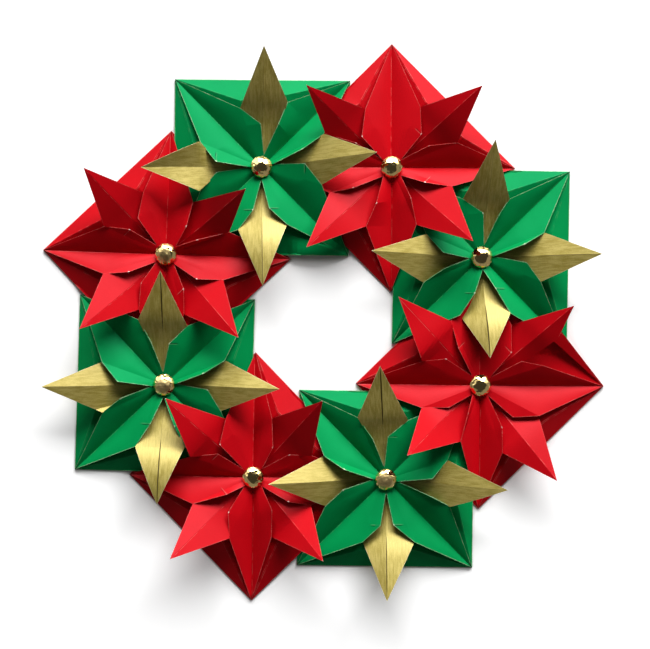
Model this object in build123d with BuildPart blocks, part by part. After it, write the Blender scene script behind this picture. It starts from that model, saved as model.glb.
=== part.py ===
from build123d import *
from math import cos, radians, sin, sqrt, tan
import os

# Wreath of eight folded paper flowers, tucked into one another in a ring.
# The frame is millimetres, with +Z up, the origin at the middle of the ring on the table,
# +Y towards the top of the wreath and +X towards its right.

# The folded square that each flower is made from
square_side = 53.0
base_thickness = 0.4
sheet_thickness = 0.3
half_side = square_side / 2
corner_radius = half_side * sqrt(2)

# Petal outline, seen from above
shoulder_reach = 18.0
shoulder_half = shoulder_reach * tan(radians(22.5))
notch_reach = 12.6
notch_half_width = 2.6
hidden_margin = 0.8
petal_length = 18.4

# Heights of the folds above the table
gather_height = 2.8
sheet_sink = 0.1
corner_tip_height = 0.75
tip_stack_length = 0.8
corner_shoulder_height = 5.6
tucked_shoulder_height = 4.7
side_root_height = 2.6
side_shoulder_height = 4.6
side_ridge_height = 6.6
over_lift = 0.5
flap_inner_height = 3.2
flap_overlap = 1.0
flap_end_gap = 0.5

# How a flower is tucked into the one before it
stem_radius = 1.3
layer_gap = 0.1
tuck_gap = 0.4
ramp_length = 1.2
ramp_margin = 1.9
blunt_tip = 1.2
tuck_lift = base_thickness + layer_gap
flower_spacing = corner_radius + stem_radius + tuck_gap

# Split brass fastener through the middle of each flower
head_radius = 3.2
head_height = 1.5
head_wall = 0.3
prong_width = 1.5
prong_thickness = 0.3
prong_length = 8.0
prong_gap = 0.06
slot_clearance = 0.1
gather_margin = 0.3
bulge_margin = 0.6
bulge_rounding = 0.9
seat_gap = 0.05
gather_radius = head_radius - gather_margin
gather_slope = 0.35
gather_top = gather_height + sheet_thickness + head_radius * gather_slope

# Ring of flowers, clockwise from the upper left
flower_count = 8
step_angle = 360 / flower_count
ring_radius = flower_spacing / (2 * sin(radians(step_angle / 2)))
ring_turn = -0.8

# Each flower as it was folded and tucked. Its nudge outwards and round the ring is in mm, and its
# turn in degrees. The rest is for its outer, left, inner and over petal in that order: how far the
# petal swings and lifts in degrees, and how far its notch lies to the left in mm.
flower_names = (
    "green_flower_1", "red_flower_1", "green_flower_2", "red_flower_2",
    "green_flower_3", "red_flower_3", "green_flower_4", "red_flower_4",
)
settings = {
    "green_flower_1": {
        "nudge": (-1.1, 0.0), "turn": 0.3,
        "swing": (-1, 2, 1, 6), "lift": (21, 17, 14, 25), "notch": (-2.4, 0.2, 0.0, 2.0),
    },
    "red_flower_1": {
        "nudge": (-0.4, -0.6), "turn": 0.5,
        "swing": (-3, 3, -1, 1), "lift": (18, 24, 18, 37), "notch": (-1.4, 1.3, 0.4, 0.5),
    },
    "green_flower_2": {
        "nudge": (0.3, 0.3), "turn": -0.2,
        "swing": (2, -4, -2, 3), "lift": (23, 26, 32, 49), "notch": (1.1, -2.4, 1.0, 1.0),
    },
    "red_flower_2": {
        "nudge": (-0.1, 1.1), "turn": 0.2,
        "swing": (-6, -4, -1, -3), "lift": (14, 14, 14, 48), "notch": (-2.2, -1.8, -0.4, -1.3),
    },
    "green_flower_3": {
        "nudge": (0.0, 0.0), "turn": 0.0,
        "swing": (1, -4, 4, 2), "lift": (18, 15, 26, 22), "notch": (0.2, -2.2, 1.8, 0.0),
    },
    "red_flower_3": {
        "nudge": (0.2, -0.8), "turn": -0.2,
        "swing": (0, -2, 4, 3), "lift": (34, 42, 42, 21), "notch": (0.1, -0.9, 1.8, 1.2),
    },
    "green_flower_4": {
        "nudge": (0.3, 0.0), "turn": -0.9,
        "swing": (2, -1, 0, 2), "lift": (14, 20, 22, 30), "notch": (1.6, -0.5, 0.9, 1.2),
    },
    "red_flower_4": {
        "nudge": (0.2, 0.1), "turn": -1.3,
        "swing": (0, 0, -1, -6), "lift": (28, 34, 32, 45), "notch": (0.4, -1.5, -1.2, -1.1),
    },
}
side_names = ("N", "W", "S", "E")
side_angle = {"N": 90, "W": 180, "S": 270, "E": 0}
corner_angle = {"NE": 45, "NW": 135, "SW": 225, "SE": 315}
corner_neighbours = {"NE": ("N", "E"), "NW": ("W", "N"), "SW": ("S", "W"), "SE": ("E", "S")}


# Plan point at a distance and an angle from the flower's middle
def polar(distance, angle):
    return Vector(distance * cos(radians(angle)), distance * sin(radians(angle)))


# Plan point given along and to the left of a direction
def along(direction, forward, left):
    return polar(forward, direction) + polar(left, direction + 90)


# Plan point raised to a height
def raised(point, height):
    return Vector(point.X, point.Y, height)


# Distances of a plan point along and to the left of a direction
def measured(point, direction):
    return point.dot(polar(1, direction)), point.dot(polar(1, direction + 90))


# Place and turn of one flower in the ring, from which its local points are moved
def flower_location(index):
    own = settings[flower_names[index]]
    angle = 90 + step_angle / 2 - index * step_angle + ring_turn
    outward, sideways = own["nudge"]
    place = polar(ring_radius + outward, angle) + polar(sideways, angle + 90)
    turn = -index * step_angle + ring_turn + own["turn"]
    return Location(place, turn)


# Outline points of a side petal, and the height of its ridge and tip
def side_petal(own, name):
    index = side_names.index(name)
    straight = side_angle[name]
    axis = straight + own["swing"][index]
    lift = radians(own["lift"][index])
    shift = own["notch"][index]
    hidden_half = notch_half_width + hidden_margin
    lifted = over_lift if name == "E" else 0
    ridge = side_ridge_height + lifted
    tip_reach = shoulder_reach + petal_length * cos(lift)
    return {
        "axis": axis,
        "shoulder": {side: along(axis, shoulder_reach, side * shoulder_half) for side in (1, -1)},
        "notch": {side: along(straight, notch_reach, shift + side * notch_half_width) for side in (1, -1)},
        "hidden": {side: along(straight, notch_reach, shift + side * hidden_half) for side in (1, -1)},
        "ridge": ridge,
        "fall": (ridge - side_shoulder_height - lifted) / shoulder_half,
        "tip": raised(polar(tip_reach, axis), ridge + petal_length * sin(lift)),
    }


# Facet of folded paper: a flat polygon given by its underside, as thick as the sheet upwards
def facet(corners, thickness=sheet_thickness):
    across = corners[1] - corners[0]
    normal = across.cross(corners[-1] - corners[0])
    plane = Plane(origin=corners[0], x_dir=across, z_dir=normal if normal.Z > 0 else normal * -1)
    with BuildSketch(plane) as outline:
        with BuildLine():
            Polyline([plane.to_local_coords(corner) for corner in corners], close=True)
        make_face()
    return extrude(outline.sketch, amount=thickness, dir=(0, 0, 1), mode=Mode.PRIVATE)


# Flat square layer, with the tucked corner stepped up over the neighbour's square
def base_layer():
    ramp_end = flower_spacing - half_side - ramp_margin
    ramp_start = ramp_end - ramp_length
    start_at = half_side - ramp_start * sqrt(2)
    end_at = half_side - ramp_end * sqrt(2)
    blunt_at = half_side - (corner_radius - blunt_tip) * sqrt(2)
    floor_corners = [
        Vector(-half_side, start_at),
        Vector(start_at, -half_side),
        Vector(half_side, -half_side),
        Vector(half_side, half_side),
        Vector(-half_side, half_side),
    ]
    ramp_corners = [
        Vector(-half_side, start_at),
        Vector(start_at, -half_side),
        Vector(end_at, -half_side, tuck_lift),
        Vector(-half_side, end_at, tuck_lift),
    ]
    tucked_corners = [
        Vector(-half_side, end_at, tuck_lift),
        Vector(end_at, -half_side, tuck_lift),
        Vector(blunt_at, -half_side, tuck_lift),
        Vector(-half_side, blunt_at, tuck_lift),
    ]
    return [facet(corners, base_thickness) for corners in (floor_corners, ramp_corners, tucked_corners)]


# Sloping flap along one side of the square, rising from its edge to under the petals
def side_flap(name):
    axis = side_angle[name]
    inner_reach = shoulder_reach - flap_end_gap
    inner_half = shoulder_half + flap_overlap
    outer_half = half_side - flap_end_gap
    tucked_half = half_side - flap_end_gap - blunt_tip * sqrt(2)
    edge_height = base_thickness - sheet_sink
    tucked_side = {"N": 0, "W": 1, "S": -1}[name]

    def height(reach, left):
        rise = (flap_inner_height - edge_height) * (half_side - reach) / (half_side - inner_reach)
        step = tuck_lift * (half_side + tucked_side * left) / square_side if tucked_side else 0
        return edge_height + rise + step

    left_end = tucked_half if name == "W" else outer_half
    right_end = tucked_half if name == "S" else outer_half
    outer_edge = [(half_side, -right_end), (half_side, left_end)]
    inner_edge = [(inner_reach, inner_half), (inner_reach, -inner_half)]
    outline = outer_edge + inner_edge
    return facet([raised(along(axis, reach, left), height(reach, left)) for reach, left in outline])


# Side petal: on each side of its ridge an inner facet up to the shoulder and one to the lifted tip
def side_petal_sheets(petal):
    def height(point):
        reach, left = measured(point, petal["axis"])
        ridge = side_root_height + (petal["ridge"] - side_root_height) * reach / shoulder_reach
        return ridge - petal["fall"] * abs(left)

    root = Vector(0, 0, side_root_height)
    bend = raised(polar(shoulder_reach, petal["axis"]), petal["ridge"])
    sheets = []
    for side in (1, -1):
        hidden = petal["hidden"][side]
        edge = raised(petal["shoulder"][side], height(petal["shoulder"][side]))
        sheets.append(facet([root, raised(hidden, height(hidden)), edge, bend]))
        sheets.append(facet([bend, edge, petal["tip"]]))
    return sheets


# Corner petal: two facets that meet in a valley along the diagonal of the square
def corner_petal_sheets(name, petals):
    axis = corner_angle[name]
    tucked = name == "SW"
    shoulder_height = tucked_shoulder_height if tucked else corner_shoulder_height
    tip_height = tuck_lift + base_thickness - sheet_sink if tucked else corner_tip_height
    valley_fall = (gather_height - tip_height) / corner_radius
    tip = polar(corner_radius, axis)
    sheets = []
    for side, neighbour in zip((1, -1), corner_neighbours[name]):
        shoulder = petals[neighbour]["shoulder"][-side]
        reach, left = measured(shoulder, axis)
        side_rise = (shoulder_height - gather_height + valley_fall * reach) / abs(left)
        outline = [Vector(0, 0), petals[neighbour]["notch"][-side], shoulder, tip]
        if tucked:
            cut_share = blunt_tip / (corner_radius - reach)
            outline[-1:] = [tip + (shoulder - tip) * cut_share, polar(corner_radius - blunt_tip, axis)]
        corners = []
        for point in outline:
            reach, left = measured(point, axis)
            corners.append(raised(point, gather_height - valley_fall * reach + side_rise * abs(left)))
        sheets.append(facet(corners))
    return sheets


# Bunched layers between the square and the tip of a corner petal
def tip_stack(name):
    axis = corner_angle[name]
    seat = base_thickness - sheet_sink
    half = tip_stack_length * shoulder_half / (corner_radius - shoulder_reach)
    back = corner_radius - tip_stack_length
    outline = [polar(corner_radius, axis), along(axis, back, half), along(axis, back, -half)]
    return facet([raised(point, seat) for point in outline], corner_tip_height + sheet_sink - seat)


# Paper bulge over the fastener's prongs, and the bunched layers at the middle
def add_middle():
    bulge_length = 2 * (prong_length + bulge_margin)
    bulge_width = prong_width + 2 * (slot_clearance + bulge_margin)
    groove_depth = prong_thickness + seat_gap
    with BuildSketch(Plane.XY.offset(base_thickness - sheet_sink)) as bulge:
        RectangleRounded(bulge_width, bulge_length, bulge_rounding)
    extrude(bulge.sketch, amount=groove_depth + sheet_sink)
    with BuildSketch(Plane.XY.offset(base_thickness - sheet_sink)) as stem:
        Circle(stem_radius)
    extrude(stem.sketch, amount=side_root_height - base_thickness + 2 * sheet_sink)
    with BuildSketch(Plane.XY.offset(side_root_height)) as bunch:
        Circle(gather_radius)
    extrude(bunch.sketch, amount=gather_top - side_root_height)
    with BuildSketch() as groove:
        SlotOverall(2 * (prong_length + slot_clearance), prong_width + 2 * slot_clearance, rotation=90)
    extrude(groove.sketch, amount=groove_depth, mode=Mode.SUBTRACT)
    with BuildSketch() as slit:
        Rectangle(prong_width + 2 * slot_clearance, 2 * (prong_thickness + slot_clearance) + prong_gap)
    extrude(slit.sketch, amount=gather_top, mode=Mode.SUBTRACT)


os.makedirs("parts", exist_ok=True)

# Middle of the wreath's outline, so that the origin is the middle of its box
outline = []
for index, name in enumerate(flower_names):
    location = flower_location(index)
    tips = [side_petal(settings[name], side)["tip"] for side in side_names]
    tips += [polar(corner_radius, angle) for angle in corner_angle.values()]
    outline += [(location * Location(tip)).position for tip in tips]
middle_x = (min(point.X for point in outline) + max(point.X for point in outline)) / 2
middle_y = (min(point.Y for point in outline) + max(point.Y for point in outline)) / 2
centring = Location((-middle_x, -middle_y, 0))

for index, name in enumerate(flower_names):
    own = settings[name]
    place = centring * flower_location(index)
    petals = {side: side_petal(own, side) for side in side_names}

    with BuildPart() as flower:
        sheets = base_layer()
        sheets += [side_flap(side) for side in ("N", "W", "S")]
        sheets += [tip_stack(corner) for corner in ("NE", "NW", "SE")]
        for petal in petals.values():
            sheets += side_petal_sheets(petal)
        for corner in corner_angle:
            sheets += corner_petal_sheets(corner, petals)
        add(sheets)
        add_middle()
    piece = flower.part.moved(place)
    piece.label = name
    export_step(piece, f"parts/{name}.step")

    with BuildPart() as head:
        with BuildSketch(Plane.XZ):
            with BuildLine():
                outer_radius = (head_radius ** 2 + head_height ** 2) / (2 * head_height)
                inner_height = head_height - head_wall
                inner_reach = head_radius - head_wall
                inner_radius = (inner_reach ** 2 + inner_height ** 2) / (2 * inner_height)
                rim = gather_top + seat_gap
                RadiusArc((head_radius, rim), (0, rim + head_height), -outer_radius)
                Line((0, rim + head_height), (0, rim + inner_height))
                RadiusArc((0, rim + inner_height), (inner_reach, rim), inner_radius)
                Line((inner_reach, rim), (head_radius, rim))
            make_face()
        revolve(axis=Axis.Z)
    piece = head.part.moved(place)
    piece.label = f"fastener_head_{index + 1}"
    export_step(piece, f"parts/fastener_head_{index + 1}.step")

    with BuildPart() as prongs:
        with BuildSketch(Plane.YZ):
            with BuildLine():
                inside = prong_gap / 2
                outside = inside + prong_thickness
                top = gather_top + seat_gap
                Polyline(
                    (0, top),
                    (outside, top),
                    (outside, prong_thickness),
                    (prong_length, prong_thickness),
                    (prong_length, 0),
                    (inside, 0),
                    (inside, top - prong_thickness),
                    (0, top - prong_thickness),
                    close=True,
                )
            make_face()
            mirror(about=Plane.YZ)
        extrude(amount=prong_width / 2, both=True)
        prong_ends = edges().filter_by(Axis.Z).group_by(Axis.Y)
        fillet(prong_ends[0] + prong_ends[-1], radius=prong_width / 2 - prong_gap)
    piece = prongs.part.moved(place)
    piece.label = f"fastener_prongs_{index + 1}"
    export_step(piece, f"parts/fastener_prongs_{index + 1}.step")
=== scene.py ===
import math

import bmesh
import bpy
from mathutils import Matrix, Vector


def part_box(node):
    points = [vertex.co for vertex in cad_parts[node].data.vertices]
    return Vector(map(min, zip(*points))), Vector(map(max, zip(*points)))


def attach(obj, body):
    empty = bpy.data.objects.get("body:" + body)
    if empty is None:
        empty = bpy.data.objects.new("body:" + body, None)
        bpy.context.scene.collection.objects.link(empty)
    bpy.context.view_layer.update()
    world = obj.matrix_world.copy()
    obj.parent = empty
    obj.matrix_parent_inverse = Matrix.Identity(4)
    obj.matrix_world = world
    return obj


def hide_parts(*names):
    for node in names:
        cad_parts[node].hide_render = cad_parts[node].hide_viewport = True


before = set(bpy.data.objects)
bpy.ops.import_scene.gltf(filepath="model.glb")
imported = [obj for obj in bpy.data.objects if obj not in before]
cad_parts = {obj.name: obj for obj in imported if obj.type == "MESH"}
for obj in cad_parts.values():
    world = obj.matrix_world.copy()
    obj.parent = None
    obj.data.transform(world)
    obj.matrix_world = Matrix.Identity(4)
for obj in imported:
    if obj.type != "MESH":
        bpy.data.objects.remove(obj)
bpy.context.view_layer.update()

mm = 0.001  # everything below is worked out in millimetres and written to the meshes in metres

# The picture is taken from straight above. Points read off it are pixels of its 650 x 649 frame.
camera = {
    "height": 600.0,
    "pictureWidth": 196.8,  # what the picture spans on the table
    "pixelsWide": 650,
    "pixelsHigh": 649,
    "aimX": 0.513,
    "aimY": -0.697,
    "sensor": 36.0,
    "nearest": 0.01,
}

# Folds of every flower, as distances from its middle and heights above the table
fold = {
    "squareHalf": 26.5,
    "cornerReach": 37.48,
    "tuckedReach": 36.2,
    "notchReach": 12.6,
    "notchHalf": 2.6,
    "petalLength": 18.4,
    "hiddenMargin": 0.8,
    "middleHeight": 2.9,
    "cornerTipHeight": 0.72,
    "tuckedTipHeight": 0.95,
    "shoulderHeight": 5.7,
    "tuckedShoulderHeight": 4.9,
    "notchHeight": 6.3,
    "tuckedNotchHeight": 5.5,
    "mouthReach": 3.7,  # where the slot between two corner petals opens
    "creaseSag": 0.3,
    "leastFold": 0.5,  # how far outside its wing's fold a notch has to stand for the fold to be made
    "foldRise": 0.35,
    "petalSteps": (8, 8, 18),  # to the notches, to the shoulders and to the tip
    "petalColumns": (0.25, 0.45, 0.65, 0.85, 1),  # shares of a half, past the side of its slit
    "slitColumn": 0.1,
    "widestSlit": 0.15,
    "cornerSteps": (10, 6, 14),
    "wingColumns": 7,
    "facetColumns": 4,
    "rootHeight": 1.9,
    "ridgeHeight": 6.7,
    "overLift": 0.5,
    "rootHollow": 2.2,
    "bendEase": 4.0,
    "upturnStart": 0.86,  # share of the way to the shoulders where a half that slopes up begins to
    "gapeDepth": 1.6,
    "gapeStart": 0.38,
    "paper": 0.13,
    "sharpAngle": 5,
}

# Strip between a side of the square and the petals
strip = {
    "edgeHeight": 0.42,
    "foldHeight": 3.3,
    "foldOutward": 2.5,
    "innerHeight": 2.5,
    "innerInward": 1.0,
    "tuckLift": 0.5,
    "tuckedTrim": 1.9,
    "steps": (12, 8, 12),
    "slopeRows": 6,
    "pleatRows": 3,
}

# Pressed layers under a flower: their sizes, and how they are stacked
layers = {
    "side": 52.9,
    "spacing": 0.135,
    "thickness": 0.11,
    "rampStart": 9.58,
    "rampEnd": 10.78,
    "rampRise": 0.5,
    "bluntReach": 36.25,
    "bulgeRise": 0.34,
    "bulgeHalfWidth": 0.95,
    "bulgeHalfLength": 8.2,
    "bulgeSlope": 0.7,
    "archDepth": 7.0,
    "archMiddle": 17.3,
    "archHalf": 9.0,
}
stack = {
    "Steps": 54,
    "Count": 3,
    "Turn Jitter": 0.004,
}
firstSeed = 4

# Brass head of a split fastener
head = {
    "radius": 3.2,
    "rise": 1.5,
    "wall": 0.3,
    "leastHeight": 0.02,
    "profilePoints": 20,
    "turnPoints": 72,
    "sharpAngle": 40,
    "lean": 0.03,
    "leanTurn": 107,  # degrees from one head's lean to the next
    "dullShift": 0.4,
    "dullness": (0, 0, 0, 0, 1, 0.1, 1, 0.7),
}

sideAngle = {"outer": 90, "left": 180, "inner": 270, "over": 0}
cornerBetween = {  # each corner petal lies between two side petals, the left-hand one first
    45: ("outer", "over"),
    135: ("left", "outer"),
    225: ("inner", "left"),
    315: ("over", "inner"),
}
tuckedCorner = 225

# How each flower was folded. A side petal has the pixel of its tip, of its two shoulders and of the
# notches beside them (None where another petal covers one), its lift in degrees, how far its left
# and right shoulder hang below its ridge, how wide its crease gapes and how far the ridge bulges up
# on the way to the tip, all in mm. A third number of a notch is how much higher than usual it
# stands, and a shoulder's third and fourth are the pixel of the corner petal's own shoulder.
# "creased" names the petals with a crease mark at a notch, on their left (1) or right (-1) as seen
# from the middle; the mark is drawn as a painted shade line and a painted highlight line. "arch" is how
# far the free part of the inner side stands off the table. "turnedUp" is a petal with a bent shoulder,
# the two pixels of the bend and its slope.
flowers = [
    {
        "node": "green_flower_1", "turn": -0.5, "arch": 2.0,
        "creased": {"inner": (1, -1), "left": (-1,), "over": (-1,)},
        "outer": ((264.0, 45.3), ((240.2, 108.2), (287.6, 102.2)), ((260.9, 123.7), (278.4, 123.7)),
                  22, (0.4, 0.4), 0, 0),
        "left": ((140.7, 167.1), ((200.6, 142.6), (199.7, 191.4)), ((216.1, 161.9, 1.5), (216.1, 171.9)),
                 10, (-1.2, -3.0), 0, 0.4),
        "inner": ((262.6, 285.6), ((238.1, 229.6), (287.1, 224.4)), ((253.1, 209.8), (269.1, 208.1)),
                  10, (1.2, 2.2), 0.12, 1.0),
        "over": ((377.1, 152.1), ((323.7, 134.0), (321.7, 184.5)), ((302.2, 149.5, 1.5), (304.8, 163.3)),
                 25, (1.4, 1.7), 0, 0.5),
    },
    {
        "node": "red_flower_1", "turn": -45.3, "arch": 0, "creased": {"outer": (1,), "over": (1,)},
        "outer": ((482.7, 85.4), ((420.4, 107.0), (457.7, 142.8)), ((421.6, 134.2), (429.3, 145.7)),
                  18, (1.3, 1.2), 0, 0),
        "left": ((306.2, 84.8), ((365.3, 108.9), (325.1, 133.3)), ((361.8, 136.4), None),
                 26, (1.5, 0.4), 0, 0.3),
        "inner": ((306.2, 247.3), ((329.4, 192.7), (366.0, 226.3)), ((353.5, 187.6), (376.3, 203.1)),
                  19, (0.9, 1.7), 0, 0.4),
        "over": ((473.2, 241.0), ((452.0, 186.4), (416.4, 224.6)), ((425.0, 182.4), (410.9, 197.9)),
                 35, (0.8, 2.8), 0, 0),
    },
    {
        "node": "green_flower_2", "turn": -91.0, "arch": 0, "creased": {"over": (1, -1)},
        "outer": ((602.6, 253.8), ((544.4, 232.6), (540.9, 281.7)), ((524.4, 244.3, 1.4), (526.8, 262.4)),
                  22, (1.5, 1.0), 0.1, -0.4),
        "left": ((495.7, 139.3), ((463.1, 198.7), (509.3, 199.1)), ((483.8, 212.7), (498.6, 215.6)),
                 26, (0.9, 0.9), 0, 0.2),
        "inner": ((371.4, 250.6), ((426.4, 233.9), (423.7, 282.5)), ((443.1, 252.6, 1.4), (444.7, 268.5)),
                  26, (2.3, 1.5), 0, 0),
        "over": ((490.2, 357.8), ((460.2, 315.2), (510.4, 313.1)), ((475.0, 293.2), (495.7, 288.4)),
                 11, (1.5, 4.0), 0.25, 0.2),
    },
    {
        "node": "red_flower_2", "turn": -135.6, "arch": 0, "creased": {"inner": (-1,), "left": (1,)},
        "outer": ((557.3, 481.2), ((539.0, 416.0), (502.5, 453.0)), ((513.3, 417.6, -1.2), (502.2, 427.3)),
                  15, (2.1, 2.1), 0, -0.3),
        "left": ((574.3, 305.7), ((511.7, 324.8), (557.3, 338.9, 544.0, 366.0)),
                 ((512.0, 352.5), (521.6, 361.3)), 12, (1.7, 1.0), 0, -0.3),
        "inner": ((398.6, 296.6), ((451.1, 321.0), (422.1, 361.3)), ((458.6, 348.0), (446.2, 358.8)),
                  6, (-1.0, 1.8), 0, -1.2),
        "over": ((407.2, 455.5), ((421.3, 407.7), (460.8, 441.7)), ((449.5, 407.7, -1.2), (468.3, 413.5)),
                 48, (1.1, 1.3), 0, 0.3),
    },
    {
        "node": "green_flower_3", "turn": -180.8, "arch": 0, "creased": {"outer": (1, -1), "inner": (-1,)},
        "outer": ((387.0, 601.5), ((362.6, 542.2), (414.6, 542.2)), ((380.6, 525.8), (393.3, 525.0)),
                  16, (1.6, 4.0), 0.15, 0.3),
        "left": ((508.1, 490.3), ((447.9, 460.4), (450.0, 506.7)), ((432.4, 478.8, 1.4), (432.4, 497.4)),
                 16, (-0.2, 1.2), 0, 1.0),
        "inner": ((380.1, 365.9), ((357.5, 417.4), (408.0, 420.3)), ((372.9, 439.4), (387.8, 437.0)),
                  19, (0.0, 0.7), 0.25, -0.4),
        "over": ((268.5, 484.4), ((324.0, 456.0), (325.1, 506.4)), ((343.9, 469.2, 1.4), (343.1, 489.9)),
                 21, (2.9, 3.2), 0, -0.3),
    },
    {
        "node": "red_flower_3", "turn": -226.0, "arch": 0, "creased": {"outer": (-1,), "over": (1,)},
        "outer": ((169.8, 559.3), ((192.6, 503.9), (229.3, 538.2)), ((226.4, 494.6), (228.1, 512.3)),
                  35, (0.1, 1.4), 0, 0.3),
        "left": ((323.1, 561.3), ((310.9, 505.6), (271.2, 537.7)), (None, (272.0, 510.6)),
                 40, (1.6, 2.7), 0, 0.5),
        "inner": ((322.7, 400.8), ((272.0, 418.5), (311.7, 455.7)), ((272.9, 447.6), None),
                  27, (2.8, -0.2), 0, 0),
        "over": ((165.2, 398.2), ((225.6, 418.9), (190.9, 456.5)), ((219.6, 444.7), (218.0, 454.0)),
                 12, (-0.7, 3.0), 0, -0.2),
    },
    {
        "node": "green_flower_4", "turn": -271.7, "arch": 0, "creased": {"over": (-1,), "left": (1, -1)},
        "turnedUp": ("outer", (116.5, 404.5), (94.0, 410.0), 1.3),
        "outer": ((40.8, 386.8), ((101.8, 362.0), (102.5, 412.5)), ((117.9, 381.5, 1.4), (120.4, 398.5)),
                  14, (2.1, 2.4), 0, 0),
        "left": ((156.8, 504.6), ((135.3, 446.5), (184.7, 447.4)), ((150.2, 424.2), (173.9, 426.6)),
                 8, (0, 0.7), 0.2, 1.4),
        "inner": ((279.5, 389.0), ((224.8, 360.6), (220.7, 411.2)), ((203.3, 373.6, 1.4), (207.4, 389.7)),
                  20, (3.0, 1.9), 0, 0.4),
        "over": ((160.2, 270.8), ((138.6, 319.7), (187.2, 326.0)), ((150.7, 341.6), (168.9, 343.7)),
                 17, (0.1, 0.8), 0.25, -0.3),
    },
    {
        "node": "red_flower_4", "turn": -317.1, "arch": 0, "creased": {"outer": (1,), "inner": (-1,)},
        "outer": ((83.5, 167.6), ((143.2, 192.6), (104.3, 226.4)), ((137.8, 218.0), (129.6, 229.4)),
                  25, (0.4, 1.9), 0, 0.2),
        "left": ((79.3, 329.0), ((103.4, 273.7), (138.4, 309.6)), ((128.8, 272.0), (140.6, 283.0)),
                 31, (2.0, 0.3), 0, 0.2),
        "inner": ((238.3, 337.6), ((223.4, 280.1), (183.7, 314.3)), ((196.4, 279.1), (183.4, 288.9)),
                  30, (0.7, 2.5), 0, 0.4),
        "over": ((245.9, 188.4), ((193.0, 201.9), (229.4, 232.3)), ((186.3, 226.4), (197.2, 239.9)),
                 36, (1.6, 1.6), 0, 0.2),
    },
]


# Geometry helpers

def polar(distance, angle):
    return Vector((distance * math.cos(math.radians(angle)), distance * math.sin(math.radians(angle)), 0))


def raised(point, height):
    return Vector((point.x, point.y, height))


# Point at a height over the table that the camera sees at a pixel
def atPixel(pixel, height):
    scale = camera["pictureWidth"] / camera["pixelsWide"] * (1 - height / camera["height"])
    across = (pixel[0] - camera["pixelsWide"] / 2) * scale
    down = (pixel[1] - camera["pixelsHigh"] / 2) * scale
    return Vector((camera["aimX"] + across, camera["aimY"] - down, height))


# How far a point lies from the middle along a direction, and to the left of it
def measured(point, middle, direction):
    offset = raised(point - middle, 0)
    return offset.dot(polar(1, direction)), offset.dot(polar(1, direction + 90))


# Distance in plan from a line, positive to its left
def lineDistance(point, start, end):
    run = raised(end - start, 0).normalized()
    offset = raised(point - start, 0)
    return run.x * offset.y - run.y * offset.x


def segmentDistance(point, start, end):
    run = raised(end - start, 0)
    offset = raised(point - start, 0)
    share = max(0, min(1, offset.dot(run) / max(run.length_squared, 1e-9)))
    return (offset - run * share).length


def mixed(start, end, share):
    return start + (end - start) * share


# Sheets of paper are grids of points. Two maps go along. wearMap holds the distances to the nearest
# free edge, to the crease and to the nearest worn point. markMap holds the place along and across a
# notch's crease mark and the distance to the tip, or for a side petal how wide its crease gapes.
# The shaders use them to lay worn edges and spots, and painted shade and painted highlights along
# creases, crease marks, slits and corner tips.

def newSheets():
    return {"points": [], "faces": [], "slots": [], "wear": [], "mark": []}


# Adds rows of (point, wear, mark), and joins points that fall together
def addGrid(sheets, rows, slot):
    seen = {}
    table = []
    for row in rows:
        line = []
        for point, wear, mark in row:
            key = (round(point.x, 3), round(point.y, 3), round(point.z, 3))
            if key not in seen:
                seen[key] = len(sheets["points"])
                sheets["points"].append(point * mm)
                sheets["wear"].append(wear)
                sheets["mark"].append(mark)
            line.append(seen[key])
        table.append(line)
    for low, high in zip(table, table[1:]):
        for a, b, c, d in zip(low, low[1:], high[1:], high):
            corners = list(dict.fromkeys((a, b, c, d)))
            if len(corners) > 2:
                sheets["faces"].append(corners)
                sheets["slots"].append(slot)


# Points along a line of stations, each span cut into its own number of steps
def spans(stations, steps):
    points = [stations[0]]
    for start, end, count in zip(stations, stations[1:], steps):
        points += [mixed(start, end, (i + 1) / count) for i in range(count)]
    return points


far = 9.0  # a distance past every worn edge


# Plan and heights of a side petal, from the pixels of its tip, shoulders and notches
def readPetal(flower, name, middle, turn):
    tipPixel, shoulderPixels, notchPixels, lift, hangs, gape, curl = flower[name]
    ridge = fold["ridgeHeight"] + (fold["overLift"] if name == "over" else 0)
    tip = atPixel(tipPixel, ridge + fold["petalLength"] * math.sin(math.radians(lift)))
    straight = sideAngle[name] + turn
    axis = math.degrees(math.atan2(tip.y - middle.y, tip.x - middle.x))
    petal = {
        "axis": axis,
        "straight": straight,
        "tip": tip,
        "ridge": ridge,
        "hang": dict(zip((1, -1), hangs)),
        "curl": curl,
        "gape": gape,
        "creased": flower["creased"].get(name, ()),
        "turnedUp": None,
        "shoulder": {},
        "wingShoulder": {},
        "notch": {},
        "stand": {},
    }
    for shoulderPixel, notchPixel in zip(shoulderPixels, notchPixels):
        shoulder = atPixel(shoulderPixel, fold["shoulderHeight"])
        side = 1 if measured(shoulder, middle, axis)[1] > 0 else -1
        if notchPixel:
            notch = atPixel(notchPixel, fold["notchHeight"])
        else:
            notch = middle + polar(fold["notchReach"], straight)
            notch += polar(side * fold["notchHalf"], straight + 90)
        petal["shoulder"][side] = raised(shoulder, 0)
        petal["wingShoulder"][side] = raised(shoulder, 0)
        if len(shoulderPixel) > 2:
            petal["wingShoulder"][side] = raised(atPixel(shoulderPixel[2:], fold["shoulderHeight"]), 0)
        petal["notch"][side] = raised(notch, 0)
        petal["stand"][side] = notchPixel[2] if notchPixel and len(notchPixel) > 2 else 0
    bend = flower.get("turnedUp")
    if bend and bend[0] == name:
        petal["turnedUp"] = {"line": (atPixel(bend[1], ridge), atPixel(bend[2], ridge)), "slope": bend[3]}
    inSlot = ((petal["notch"][1] + petal["notch"][-1]) / 2 - middle).normalized()
    petal["mouth"] = middle + inSlot * fold["mouthReach"]
    placed = [measured(petal["shoulder"][side], middle, axis) for side in (1, -1)]
    petal["bend"] = (placed[0][0] + placed[1][0]) / 2
    petal["halfWidth"] = (abs(placed[0][1]) + abs(placed[1][1])) / 2
    return petal


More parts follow.
